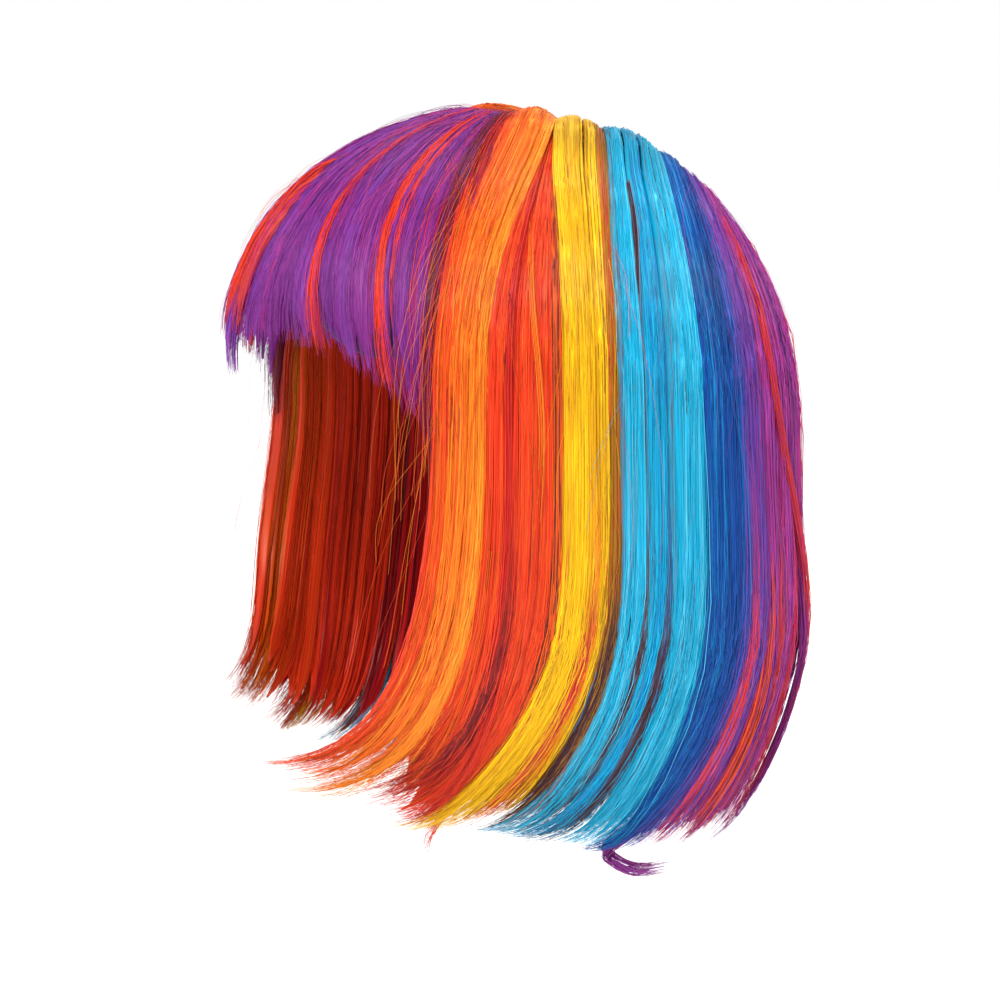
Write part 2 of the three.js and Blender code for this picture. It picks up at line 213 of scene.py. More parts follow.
class Build:
    """Points, faces and surface values of one piece, gathered from arrays."""

    def __init__(self):
        self.points, self.normals, self.colours, self.streaks, self.comb = [], [], [], [], []
        self.faces, self.places = [], []
        self.count = 0

    def add_tubes(self, points, normals, colour, streak, comb, column, width):
        """Closed tubes, points by tube, ring and place round the ring; each has its own map column."""
        count, rings, sides, _ = points.shape
        near = rings // 2
        edge = points[:, near, 1] - points[:, near, 0]
        ahead = points[:, near + 1, 0] - points[:, near, 0]
        out = points[:, near, 0] - points[:, near].mean(axis=1)
        inward = (np.cross(edge, ahead) * out).sum(axis=1) < 0
        flip = inward[:, None, None, None]
        points = np.where(flip, points[:, :, ::-1], points)
        self.points.append(points.reshape(-1, 3))
        self.normals.append(np.where(flip, normals[:, :, ::-1], normals).reshape(-1, 3))
        self.comb.append(np.where(flip, comb[:, :, ::-1], comb).reshape(-1, 3))
        self.colours.append(np.broadcast_to(colour, points.shape).reshape(-1, 3))
        self.streaks.append(np.broadcast_to(streak, points.shape).reshape(-1, 3))
        vertex = self.count + np.arange(count * rings * sides).reshape(count, rings, sides)
        self.count += vertex.size
        after = np.roll(vertex, -1, axis=2)
        u = column[:, None] + width * np.arange(sides + 1)[None, :] / sides
        v = np.linspace(0.01, 0.99, rings)
        quad_u = np.stack([u[:, :-1], u[:, 1:], u[:, 1:], u[:, :-1]], axis=-1)[:, None]
        quad_v = np.stack([v[:-1], v[:-1], v[1:], v[1:]], axis=-1)[None, :, None]
        quads = np.stack([vertex[:, :-1], after[:, :-1], after[:, 1:], vertex[:, 1:]], axis=-1)
        self.add_faces(quads, quad_u, quad_v)
        self.add_faces(vertex[:, 0, ::-1], u[:, -2::-1], v[0])
        self.add_faces(vertex[:, -1], u[:, :-1], v[-1])

    def add_faces(self, corners, u, v):
        places = np.stack(np.broadcast_arrays(u, v, corners)[:2], axis=-1)
        self.faces.append(corners.reshape(-1, corners.shape[-1]))
        self.places.append(places.reshape(-1, 2))

    def mesh(self, name):
        points = np.concatenate(self.points) * MM
        corners = np.concatenate([face.ravel() for face in self.faces])
        sizes = np.concatenate([np.full(len(face), face.shape[1]) for face in self.faces])
        mesh = bpy.data.meshes.new(name)
        mesh.vertices.add(len(points))
        mesh.vertices.foreach_set("co", points.ravel())
        mesh.loops.add(len(corners))
        mesh.loops.foreach_set("vertex_index", corners.astype(np.int32))
        mesh.polygons.add(len(sizes))
        starts = np.concatenate([[0], np.cumsum(sizes)[:-1]])
        mesh.polygons.foreach_set("loop_start", starts.astype(np.int32))
        mesh.polygons.foreach_set("use_smooth", np.ones(len(sizes), bool))
        mesh.uv_layers.new(name="OFBake").data.foreach_set("uv", np.concatenate(self.places).ravel())
        for layer, rows in (("fibre_colour", self.colours), ("streak_colour", self.streaks)):
            values = np.concatenate([np.concatenate(rows), np.ones((len(points), 1))], axis=1)
            mesh.attributes.new(layer, "FLOAT_COLOR", "POINT").data.foreach_set("color", values.ravel())
        comb = np.concatenate(self.comb).ravel()
        mesh.attributes.new("comb", "FLOAT_VECTOR", "POINT").data.foreach_set("vector", comb)
        mesh.update(calc_edges=True)
        mesh.validate()
        mesh.normals_split_custom_set_from_vertices(np.concatenate(self.normals))
        return mesh


# Places along a lock or a fibre, closer together where it bends
LOCK_PLACES = np.concatenate([
    np.linspace(0.0, 0.12, 5),
    np.linspace(0.155, 0.8, 13),
    np.linspace(0.84, 1.0, 6),
])
CROWN_PLACES = np.linspace(0.0, 1.0, 12)
TIP_PLACES = np.array((0.0, 0.1, 0.22, 0.36, 0.5, 0.63, 0.75, 0.84, 0.91, 0.96, 1.0))
STATION_JITTER = 0.3

# Tones of each colour, and painted shade: darker roots, slow waves of painted sheen and shade, darker locks
TONES = 6
TONE_SPREAD = 0.1
# Painted shade at the roots: the hair darkens towards the parting
ROOT_SHADE = dict(bright=0.62, end=0.07)
# Painted sheen and shade: slow waves of lighter and darker along each lock
SHEEN_AND_SHADE_WAVE = dict(height=0.03, phases=3.0, beats=9.0)
# Painted shade: the locks darkened to match the shadows among the fibres
LOCK_SHADE = 0.95

# Places on the map, and in comb space for the streaks
LOCK_MAP = 0.7
LOCK_MAP_FILL = 0.94
FIBRE_MAP = 0.28
FIBRE_MAP_GAP = 0.02
FIBRE_MAP_FILL = 0.8
WISP_MAP_WIDTH = 0.01
LENGTH_MM = 310.0
MM_PER_DEGREE = 1.6
COMB_STEP = 40.0
COMB_SPAN = 900.0

# Locks: ranges that each one is drawn from, then shares of length, width and depth
LOCK_SIDES = 10
LOCK_RANGES = dict(
    shift=(-0.2, 0.2), half=(1.1, 1.35), loose=(0.8, 1.0), taper=(-0.06, 0.03), sway=(0.1, 0.35),
)
SWAY_BEATS = 5.0
SETTLED = (0.02, 0.2)
TIP_SPREAD = (0.5, 0.8)
TIP_TURN = (0.68, 1.0)
FLAT_ROOT = 0.25
FLAT_TIP = 0.6
LOCK_END_SINK = 0.05
LOCK_END_FLAT = 0.25
TUFT_RISE = dict(place=0.05, width=0.04)
TUFT_DIP = dict(place=0.15, width=0.05)
TUFT_DIP_SHARE = 0.5
EMERGE_DEPTH = 0.3
NOT_LOOSE = dict(share=(2.0, 2.0), keep=0.0, depth=0.0)

# Bands sunk by CLOSED or more show their main colour only where they open: their widths and lift there
CLOSED = 0.1
LOW = (0.45, 0.75)
CLOSED_WIDTH = (0.25, 1.7)
OPEN_LIFT = 0.03

# Fibres: half width in millimetres, taper, how far their shading follows the hair, and shares of them
FIBRE_RADIUS = 0.15
FIBRE_RADIUS_RANGE = (0.7, 1.25)
FIBRE_TIP = 0.35
FIBRE_TIP_PLACES = (0.7, 1.0)
FIBRE_POINT = 0.85
NORMAL_LIFT = 0.35
FAR_SHARE = 0.8
LOOSE_SHARE = 0.08
SHORT_SHARE = 0.2
OTHER_BAND_SHARE = 0.05
STREAK_SHARE = 0.3

# Where fibres start and end, as shares of length, and how deep they sink there
CROWN_ENDS = (0.36, 0.68)
SIDE_STARTS = (0.16, 0.46)
OTHER_STARTS = (0.0, 0.3)
TIP_ENDS = dict(spread=0.02, longest=1.02, shorter=(0.0, 0.2))
START_SINK = dict(depth=0.06, places=(0.0, 0.12))
END_SINK = dict(depth=0.05, places=(0.85, 1.0))

# How fibres wander, in degrees across the hair and shares of its depth
FIBRE_WAVE = 0.2
FIBRE_BEATS = (3.0, 8.0)
DRIFT = dict(loose=2.2, other=0.35)
RISE = dict(loose=(0.02, 0.09), other=(-0.01, 0.04), starts=(0.0, 0.1))
WILD = dict(places=(0.82, 1.0), degrees=0.8, depth=0.1)

# Stray hairs: counts, drift in degrees (mean, spread), and shares of length and depth
STRAY_RADIUS = 0.055
STRAY_COUNTS = dict(near=22, far=8)
STRAY_DRIFT = (0.0, 5.0)
FUZZ_DRIFT = (-5.0, 4.0)
FUZZ_FAR_PART = 4
FUZZ_LOCKS = 2
STRAY_STARTS = (0.05, 0.55)
STRAY_LENGTHS = (0.12, 0.35)
STRAY_WAVE = dict(degrees=0.7, phases=(0.0, 6.0), beats=(2.0, 7.0))
STRAY_CLEAR = 0.04
STRAY_ARCH = (0.02, 0.18)
WISP_ENDS = (0.75, 1.0)

# Layers: depths (high to belly, uneven, curl) as shares of the hair's depth, lean in degrees, the rest as
# shares of length or width; inner is the share of fibres that lie on the inside
TOP = dict(start=0.0, high=0.96, tip_high=0.86, thin=0.6, root=0.6, rise=0.08, bulge=0.12, belly=0.18,
           settle=(0.04, 0.4), tip_width=1.0, uneven=0.05, reach=1.01, ragged=0.045, lean=0.6, curl=0.06,
           inner=0.1, lock_end=0.985, taper=0.89, point=0.05)
UNDER = dict(start=0.31, high=0.42, tip_high=0.36, thin=0.6, root=0.1, rise=0.02, bulge=0.08, belly=0.08,
             settle=(0.04, 0.4), tip_width=1.25, uneven=0.1, reach=0.99, ragged=0.07, lean=1.4, curl=0.08,
             inner=0.65, lock_end=0.985, taper=0.91, point=0.1)
BANGS = dict(start=0.0, high=0.98, tip_high=0.9, thin=0.5, root=0.0, rise=0.13, bulge=0.14, belly=0.3,
             settle=(0.04, 0.4), tip_width=1.0, uneven=0.05, reach=1.0, ragged=0.03, lean=0.6, curl=0.05,
             inner=0.1, lock_end=1.0, taper=0.91, point=0.08)

# Top layer: hang angles at the root, below and at the tips, fibre counts, reach of the first and last lock,
# tuft at the parting, painted shade bands (place, width, depth), locks that draw in low down (loosen), and
# bands
# of colour from front to back: the share where it ends, main and streak colours, how deep it is sunk and its
# locks
SECTIONS = [
    dict(name="orange", slot="hair_orange", root=(54, 75.3), fall=(54, 64), tip=(54.5, 62.8),
         crown=150, fibres=460, reach=(0.98, 0.99), tuft=0.32, fuzz=30, bands=[
        (0.12, "red", "amber", 0.04, 2), (0.3, "amber", "red", 0.02, 2), (0.5, "amber", "orange", 0.0, 2),
        (0.8, "orange", "amber", 0.0, 2), (1.0, "orange", "tangerine", 0.0, 2)]),
    dict(name="red", slot="hair_red", root=(74.6, 76.4), fall=(64, 79), tip=(61.5, 68.8),
         crown=90, fibres=500, emerge=(0.08, 0.26), reach=(0.925, 0.97), bands=[
        (0.22, "red", "amber", 0.0, 2), (0.34, "scarlet", "red", 0.04, 1), (0.44, "wine", "red", 0.1, 1),
        (0.84, "red", "amber", 0.0, 3), (1.0, "amber", "brown", 0.05, 1)]),
    # Painted shadow: yellow's shade darkens the hair just below the tuft at the parting
    dict(name="yellow", slot="hair_yellow", root=(75.4, 90.5), fall=(79, 89.3), tip=(68.5, 85),
         crown=140, fibres=400, reach=(0.97, 0.955), tuft=0.24, shade=[(0.105, 0.03, 0.3)], bands=[
        (0.42, "yellow", "gold", 0.0, 2), (0.5, "gold", "yellow", 0.02, 1),
        (0.61, "ember", "yellow", 0.1, 1), (0.7, "amber", "gold", 0.1, 1),
        (0.84, "yellow", "olive", 0.02, 1), (1.0, "olive", "ember", 0.03, 1)]),
    # Painted shade: cyan's shade darkens the hair just below the crown
    dict(name="cyan", slot="hair_cyan", root=(90.5, 109), fall=(89, 109), tip=(85, 106.5),
         crown=260, fibres=640, tuft=0.22, shade=[(0.1, 0.05, 0.25)], bands=[
        (0.06, "brown", "olive", 0.1, 1), (0.11, "steel", "cyan", 0.04, 1), (0.28, "cyan", "ice", 0.0, 2),
        (0.35, "brown", "steel", 0.12, 1), (0.53, "cyan", "azure", 0.0, 2),
        (0.63, "brown", "azure", 0.14, 1), (0.68, "cyan", "steel", 0.03, 1), (1.0, "cyan", "ice", 0.0, 3)]),
    # Painted shade: blue's shade darkens a patch a third of the way down
    dict(name="blue", slot="hair_blue", root=(109, 119), fall=(109, 118.8), tip=(106.5, 110.5),
         crown=120, fibres=280, tuft=0.1, shade=[(0.33, 0.07, 0.25)], bands=[
        (0.55, "blue", "azure", 0.0, 2), (1.0, "blue", "navy", 0.02, 2)]),
    dict(name="violet", slot="hair_violet", root=(119, 128), fall=(118.4, 128), tip=(110, 124.5),
         crown=100, fibres=280, reach=(1.0, 0.965), tuft=0.03, bands=[
        (0.22, "blue", "violet", 0.0, 1), (0.42, "violet", "grape", 0.01, 1),
        (0.66, "red", "violet", 0.1, 1), (0.84, "violet", "mauve", 0.02, 1),
        (1.0, "mauve", "violet", 0.0, 1)]),
    dict(name="back_purple", slot="hair_purple", root=(128, 180), fall=(128, 180), tip=(124.5, 180),
         crown=350, fibres=960, reach=(0.955, 1.0), tuft=0.02,
         loosen=dict(share=(0.13, 0.82), keep=0.05, along=(0.5, 0.78), depth=0.56), bands=[
        (0.08, "mauve", "magenta", 0.0, 2), (0.13, "ember", "mauve", 0.1, 1),
        (0.24, "mauve", "magenta", 0.0, 2), (0.28, "scarlet", "magenta", 0.1, 1),
        (0.42, "mauve", "plum", 0.0, 3), (0.46, "magenta", "mauve", 0.02, 1),
        (0.66, "mauve", "purple", 0.0, 4), (0.71, "magenta", "scarlet", 0.02, 1),
        (0.9, "mauve", "plum", 0.0, 4), (0.94, "scarlet", "magenta", 0.02, 1),
        (1.0, "mauve", "magenta", 0.0, 1)]),
]
UNDER_SECTIONS = [
    dict(name="under_red", slot="hair_red", fall=(56, 116), fibres=420, bands=[
        (0.2, "red", "amber", 0.0, 5), (0.5, "red", "scarlet", 0.0, 7), (0.75, "scarlet", "wine", 0.0, 6),
        (1.0, "wine", "ember", 0.0, 6)]),
    dict(name="under_ember", slot="hair_ember", fall=(116, 180), fibres=420, bands=[
        (0.35, "ember", "plum", 0.0, 8), (0.7, "scarlet", "ember", 0.0, 8),
        (1.0, "plum", "scarlet", 0.0, 7)]),
]

# Fringe, from the wearer's right to the left; sweep moves the first and last tips by so many degrees
RED_BANDS = [(0.7, "red", "scarlet", 0.0, 1), (1.0, "magenta", "red", 0.0, 1)]
WINE_BANDS = [(0.5, "wine", "plum", 0.0, 3), (1.0, "scarlet", "wine", 0.0, 3)]
FRINGE_SECTIONS = [
    dict(name="right_temple_wine", slot="hair_wine", fall=(-49, -57), sweep=(-2, 0), fibres=130,
         lift=0.1, reach=(1.04, 1.04), bands=WINE_BANDS),
    dict(name="fringe_purple_far_right", slot="hair_purple", fall=(-42, -50.5), fibres=130, bands=[
        (1.0, "purple", "plum", 0.0, 3)]),
    dict(name="fringe_red_far_right", slot="hair_red", fall=(-39.5, -42), fibres=40, bands=RED_BANDS),
    dict(name="fringe_purple_right", slot="hair_purple", fall=(-39.5, -7), fibres=420, bands=[
        (0.45, "purple", "grape", 0.0, 3), (0.52, "magenta", "purple", 0.03, 1),
        (1.0, "purple", "plum", 0.0, 3)]),
    dict(name="fringe_red_right", slot="hair_red", root=(-12, -4), fall=(-10, -1), settle=(0.34, 0.66),
         fibres=110, lift=0.28, emerge=(0.3, 0.54), peak=0.22, reach=(0.95, 0.95), bands=[
        (0.6, "red", "scarlet", 0.0, 2), (1.0, "ember", "magenta", 0.0, 1)]),
    dict(name="fringe_purple_middle", slot="hair_purple", root=(-9, 19.2), fall=(-2, 19.2),
         settle=(0.34, 0.66), sweep=(0, 8), fibres=440, reach=(0.97, 0.99), bands=[
        (0.35, "purple", "grape", 0.0, 2), (0.41, "magenta", "mauve", 0.02, 1),
        (0.8, "purple", "plum", 0.0, 3), (1.0, "purple", "grape", 0.0, 1)]),
    dict(name="fringe_red_left", slot="hair_red", fall=(18.4, 20.5), sweep=(8.3, 8.3), fibres=80,
         lift=0.04, bands=RED_BANDS),
    dict(name="fringe_purple_left", slot="hair_purple", fall=(20, 36), sweep=(8.3, 8), fibres=240, bands=[
        (0.3, "purple", "plum", 0.0, 1), (0.62, "purple", "grape", 0.0, 1),
        (1.0, "purple", "mauve", 0.0, 1)]),
    dict(name="fringe_red_far_left", slot="hair_red", fall=(35.8, 37.6), sweep=(8, 8), fibres=70,
         lift=0.04, bands=RED_BANDS),
    dict(name="fringe_purple_far_left", slot="hair_purple", fall=(37.3, 50.5), sweep=(8, 2),
         fibres=210, bands=[
        (0.12, "purple", "plum", 0.0, 1), (0.26, "magenta", "red", 0.0, 1), (0.6, "purple", "plum", 0.0, 1),
        (1.0, "purple", "magenta", 0.0, 2)]),
    dict(name="left_temple_wine", slot="hair_wine", fall=(49, 57), sweep=(2, 0), fibres=150,
         lift=0.1, reach=(1.04, 1.04), bands=WINE_BANDS),
]

# Single wisps that leave their section: radius and drop in millimetres, the rest in degrees or shares
WISP_COLUMNS = ("place", "hang", "along", "depth", "drop")
WISPS = [
    dict(node="left_violet", colours=("purple", "mauve"), fibres=90, radius=3.0, spread=0.9, rows=[
        (0.0, 118, 0.9, 0.25, 0), (0.3, 113.5, 0.98, 0.3, 1), (0.45, 112.5, 1.0, 0.35, 4),
        (0.62, 115, 1.0, 0.45, 8), (0.8, 120, 1.0, 0.6, 10), (1.0, 129, 1.0, 0.8, 8)]),
    dict(node="left_back_purple", colours=("red", "ember", "magenta"), fibres=50, radius=2.0,
         spread=0.7, rows=[
        (0.0, 131, 0.2, 0.85, 0), (0.12, 131.5, 0.32, 0.96, 0), (0.25, 131, 0.4, 0.97, 0),
        (0.35, 134, 0.45, 0.97, 0), (0.45, 140, 0.52, 0.97, 0), (0.55, 145, 0.585, 0.98, 0),
        (0.65, 150, 0.66, 1.0, 0), (0.78, 152, 0.76, 1.0, 0), (0.87, 150, 0.835, 0.98, 0),
        (0.94, 147, 0.89, 0.95, 0), (1.0, 143, 0.97, 0.9, 0)]),
    dict(node="left_cyan", colours=("wine", "brown", "steel"), fibres=22, radius=1.1, spread=0.9, rows=[
        (0.0, 96.2, 0.18, 0.84, 0), (0.3, 96, 0.25, 0.95, 0), (0.7, 95, 0.33, 0.95, 0),
        (1.0, 94, 0.42, 0.84, 0)]),
    dict(node="left_red", colours=("amber", "orange"), fibres=16, radius=1.3, spread=1.4, rows=[
        (0.0, 72, 0.25, 0.75, 0), (0.3, 72.5, 0.355, 1.02, 0), (0.55, 74, 0.43, 1.02, 0),
        (0.75, 74.5, 0.495, 1.02, 0), (1.0, 73.5, 0.62, 0.92, 0)]),
    dict(node="left_back_purple", colours=("purple", "mauve"), fibres=70, radius=1.7, spread=0.9, rows=[
        (0.0, 144, 0.5, 0.7, 0), (0.25, 150, 0.69, 0.97, 0), (0.5, 151.5, 0.77, 0.98, 0),
        (0.7, 149.5, 0.84, 0.98, 0), (0.85, 147.5, 0.9, 0.98, 0), (1.0, 146, 1.01, 0.95, 0)]),
    dict(node="left_back_purple", colours=("plum", "purple"), fibres=50, radius=1.6, spread=0.9, rows=[
        (0.0, 133, 0.5, 0.6, 0), (0.4, 131.5, 0.75, 0.93, 0), (0.7, 129, 0.88, 0.93, 0),
        (1.0, 126.5, 0.975, 0.9, 1)]),
    dict(node="left_back_purple", colours=("red", "amber"), fibres=24, radius=2.6, spread=1.2, rows=[
        (0.0, 130, 0.45, 0.65, 0), (0.5, 128, 0.75, 0.97, 0), (1.0, 124, 0.98, 0.95, 0)]),
    dict(node="left_red", colours=("red", "scarlet"), fibres=40, radius=1.6, spread=3.4, rows=[
        (0.0, 72, 0.5, 0.6, 0), (0.6, 69, 0.84, 0.9, 0), (1.0, 66, 0.955, 0.8, 2)]),
    dict(node="left_red", colours=("red", "amber"), fibres=70, radius=3.2, spread=1.3, rows=[
        (0.0, 65.8, 0.6, 0.75, 0), (0.5, 65, 0.82, 0.7, 0), (1.0, 64.5, 0.94, 0.7, 0)]),
    dict(node="left_red", colours=("red", "ember"), fibres=20, radius=1.0, spread=3.0, rows=[
        (0.0, 73, 0.75, 0.7, 0), (0.5, 71.5, 0.9, 0.6, 1), (0.8, 71, 0.955, 0.5, 8),
        (1.0, 71, 0.965, 0.5, 20)]),
    dict(node="fringe_purple_middle", colours=("purple", "grape"), fibres=130, radius=3.6, spread=0.6, rows=[
        (0.0, -5, 0.7, 0.6, 0), (0.5, -5, 0.88, 0.85, 0), (0.75, -5, 0.96, 1.0, 0),
        (1.0, -6, 1.06, 1.0, 0)]),
]


def make_locks(rng, section, layer):
    """The locks of a section: middle and half width as shares across it, and how each one lies."""
    middle, half, band, sunk = [], [], [], []
    start = 0.0
    for k, (end, _, _, depth, number) in enumerate(section["bands"]):
        step = (end - start) / number
        middle += [start + (i + 0.5) * step for i in range(number)]
        half += [0.5 * step] * number
        band += [k] * number
        sunk += [depth] * number
        start = end
    middle, half, band, sunk = np.array(middle), np.array(half), np.array(band), np.array(sunk)
    count = len(middle)
    middle = middle + half * rng.uniform(*LOCK_RANGES["shift"], count)
    loosen = section.get("loosen", NOT_LOOSE)
    from_share, to_share = loosen["share"]
    loose = (middle > from_share) & (middle < to_share) & (rng.uniform(size=count) > loosen["keep"])
    closed = sunk >= CLOSED
    level = section.get("lift", 0.0) - np.where(closed, 0.0, sunk)
    reach = layer["reach"] * mix(*section.get("reach", (1.0, 1.0)), middle)
    return dict(
        middle=middle,
        band=band,
        half=half * rng.uniform(*LOCK_RANGES["half"], count),
        closed=np.where(closed, 1.0, 0.0),
        deep=np.where(closed, sunk, 0.0),
        level=level - rng.uniform(0.0, layer["uneven"], count),
        loose=np.where(loose, loosen["depth"], 0.0) * rng.uniform(*LOCK_RANGES["loose"], count),
        reach=reach - rng.uniform(0.0, layer["ragged"], count),
        taper=layer["taper"] + rng.uniform(*LOCK_RANGES["taper"], count),
        sway=half * rng.uniform(*LOCK_RANGES["sway"], count),
        phase=rng.uniform(0.0, 2.0 * np.pi, count),
        lean=rng.normal(0.0, layer["lean"], count),
        curl=rng.normal(0.0, layer["curl"], count),
    )


def lock_lines(section, layer, locks, lock, x, along, point):
    """Hang angle of lines in the locks given, x from edge to edge (-1 to 1), and the locks' edge depth and
    bulge. Point is the share of width left at the tips."""
    pick = {name: values[lock].reshape((-1,) + (1,) * (along.ndim - 1)) for name, values in locks.items()}
    tip = along / pick["reach"]
    low = ease(along, *LOW)
    thin = ease(along, layer["thin"], 1.0)
    settled = ease(along - layer["start"], *SETTLED)
    width = mix(1.0, layer["tip_width"], ease(tip, *TIP_SPREAD))
    width = width * mix(1.0, point, ease(tip, pick["taper"], layer["lock_end"]))
    width = width * mix(1.0, mix(*CLOSED_WIDTH, low), pick["closed"])
    sway = pick["sway"] * np.sin(pick["phase"] + SWAY_BEATS * along) * along
    share = pick["middle"] + sway + x * pick["half"] * width
    off_middle = (2.0 * share - 1.0) ** 2
    fall = section["fall"]
    hanging = mix(mix(*fall, share), mix(*section.get("tip", fall), share), ease(along, *TIP_TURN))
    settle = section.get("settle", layer["settle"])
    hang = mix(mix(*section.get("root", fall), share), hanging, ease(along, *settle))
    hang = hang + mix(*section.get("sweep", (0.0, 0.0)), share) * along**4 + pick["lean"] * tip**4
    crest = mix(layer["high"], layer["tip_high"], thin) + pick["level"] * settled + pick["curl"] * tip**6
    crest = crest - pick["deep"] * (1.0 - low) + OPEN_LIFT * pick["closed"] * low
    crest = mix(layer["root"], crest, ease(along - layer["start"], 0.0, layer["rise"]))
    tuft = section.get("tuft", 0.0) * np.maximum(1.0 - off_middle, 0.0)
    crest = crest + tuft * (hump(along, **TUFT_RISE) - TUFT_DIP_SHARE * hump(along, **TUFT_DIP))
    if "emerge" in section:
        below = section.get("lift", 0.0) + EMERGE_DEPTH
        behind = section.get("peak", 0.0) * off_middle
        crest = crest - below * (1.0 - ease(along - behind, *section["emerge"]))
    if "loosen" in section:
        crest = crest - pick["loose"] * ease(along, *section["loosen"]["along"])
    bulge = layer["bulge"] * mix(FLAT_ROOT, 1.0, settled) * mix(1.0, FLAT_TIP, thin)
    return hang, crest - bulge, bulge


def painted_shade(section, along, phase):
    """Painted shade along the hair: darker roots, the section's shade bands and slow waves of painted sheen.
    """
    wave = np.sin(SHEEN_AND_SHADE_WAVE["phases"] * phase + SHEEN_AND_SHADE_WAVE["beats"] * along)
    root = mix(ROOT_SHADE["bright"], 1.0, ease(along, 0.0, ROOT_SHADE["end"]))
    value = root * (1.0 + SHEEN_AND_SHADE_WAVE["height"] * wave)
    for place, width, depth in section.get("shade", ()):
        value = value * (1.0 - depth * hump(along, place, width))
    return value[..., None]


def make_tones(rng, names):
    """A few tones of each colour, and where each colour's tones start."""
    colours = [linear(COLOURS[name]) for name in names for _ in range(TONES)]
    rows = [colour * np.exp(rng.normal(0.0, TONE_SPREAD)) for colour in colours]
    first = {name: TONES * k for k, name in enumerate(names)}
    return np.clip(np.array(rows), 0.0, 1.0), first


def band_tones(rng, section, first, band, column):
    """A random tone of the main (1) or streak (2) colour of the bands given."""
    starts = np.array([first[row[column]] for row in section["bands"]])
    return starts[band] + rng.integers(0, TONES, len(band))


def band_colour(tones, main, streak, closed, along):
    """Colours along the hair: closed bands show their main colour only low down."""
    share = mix(1.0, ease(along, *LOW), closed)[..., None]
    shape = (-1,) + (1,) * (along.ndim - 1) + (3,)
    return mix(tones[streak].reshape(shape), tones[main].reshape(shape), share)


def add_locks(build, section, layer, locks, flow, side, tones, first, rng):
    """Lens-shaped locks that carry the section's form and colour and thin out under the fibres' tips."""
    count = len(locks["middle"])
    every = np.arange(count)
    end = layer["lock_end"] * locks["reach"][:, None]
    along = mix(layer["start"], end, LOCK_PLACES[None, :])[:, :, None]
    angle = np.linspace(-0.5 * np.pi, 1.5 * np.pi, LOCK_SIDES, endpoint=False)[None, None, :]
    x, s = np.broadcast_arrays(np.cos(angle), np.sin(angle))
    along = np.broadcast_to(along, (count, len(LOCK_PLACES), LOCK_SIDES))
    hang, edge, bulge = lock_lines(section, layer, locks, every, x, along, layer["point"])
    ending = ease(along / locks["reach"][:, None, None], layer["taper"], layer["lock_end"])
    round_lock = np.where(s > 0, bulge, layer["belly"])
    depth = edge - LOCK_END_SINK * ending + mix(1.0, LOCK_END_FLAT, ending) * round_lock * s
    points = flow(side, hang, along, depth)
    half_mm = locks["half"] * abs(np.ptp(section["fall"])) * MM_PER_DEGREE
    across = COMB_STEP * every[:, None, None] + half_mm[:, None, None] * x
    seed = rng.uniform(0.0, COMB_SPAN, count)[:, None, None]
    comb = np.stack(np.broadcast_arrays(across, along * LENGTH_MM, seed), axis=-1)
    # Painted shade: darker roots, shade bands, waves of painted sheen, and locks darkened to match the
    # fibres' shadows
    light = LOCK_SHADE * painted_shade(section, along, locks["phase"][:, None, None])
    main = band_tones(rng, section, first, locks["band"], 1)
    streak = band_tones(rng, section, first, locks["band"], 2)
    colour = band_colour(tones, main, streak, locks["closed"][:, None, None], along) * light
    stripe = np.broadcast_to(tones[streak][:, None, None, :], points.shape) * light
    column, width = LOCK_MAP * every / count, LOCK_MAP_FILL * LOCK_MAP / count
    build.add_tubes(points, np.zeros_like(points), colour, stripe, comb, column, width)


def stations(rng, count, places):
    """Places along each fibre, moved a little so that their joints don't line up."""
    room = np.minimum(np.diff(places)[:-1], np.diff(places)[1:])
    place = np.repeat(places[None, :], count, axis=0)
    place[:, 1:-1] += room * rng.uniform(-STATION_JITTER, STATION_JITTER, (count, len(room)))
    return place


def side_axes(paths):
    """Directions across the paths: sideways and out from the head."""
    tangent = unit(np.gradient(paths, axis=1))
    lateral = unit(np.cross(tangent, paths - HEAD_CENTRE))
    return lateral, np.cross(lateral, tangent)


def add_strands(build, paths, radius, along, colour, column, width, rng):
    """Closed three-sided strands along the paths."""
    count = len(paths)
    lateral, proud = side_axes(paths)
    turn = rng.uniform(0.0, 2.0, count)[:, None, None] + np.radians((0.0, 120.0, 240.0))[None, None, :]
    ring = np.cos(turn)[..., None] * lateral[:, :, None] + np.sin(turn)[..., None] * proud[:, :, None]
    points = paths[:, :, None] + radius[:, :, None, None] * ring
    normals = unit(mix(ring, np.broadcast_to(proud[:, :, None], ring.shape), NORMAL_LIFT))
    across = rng.uniform(0.0, COMB_SPAN, count)[:, None, None]
    down = along[:, :, None] * LENGTH_MM
    comb = np.stack(np.broadcast_arrays(across, down, np.zeros((1, 1, 3))), axis=-1)
    build.add_tubes(points, normals, colour[:, :, None, :], colour[:, :, None, :], comb, column, width)


def fibre_look(rng, section, first, tones, locks, lock, band, along):
    """Colours and map columns of fibres: mostly their lock's colours, now and then another band's, with
    painted shade.
    """
    count = len(lock)
    other = rng.uniform(size=count) < OTHER_BAND_SHARE
    band = np.where(other, rng.integers(0, len(section["bands"]), count), band)
    streak = band_tones(rng, section, first, band, 2)
    as_streak = rng.uniform(size=count) < STREAK_SHARE
    main = np.where(as_streak, streak, band_tones(rng, section, first, band, 1))
    colour = band_colour(tones, main, streak, locks["closed"][lock][:, None], along)
    # Painted shade along the fibres: darker roots, shade bands and waves of painted sheen
    colour = colour * painted_shade(section, along, locks["phase"][lock][:, None])
    step = FIBRE_MAP / len(tones)
    return colour, LOCK_MAP + FIBRE_MAP_GAP + step * main, FIBRE_MAP_FILL * step


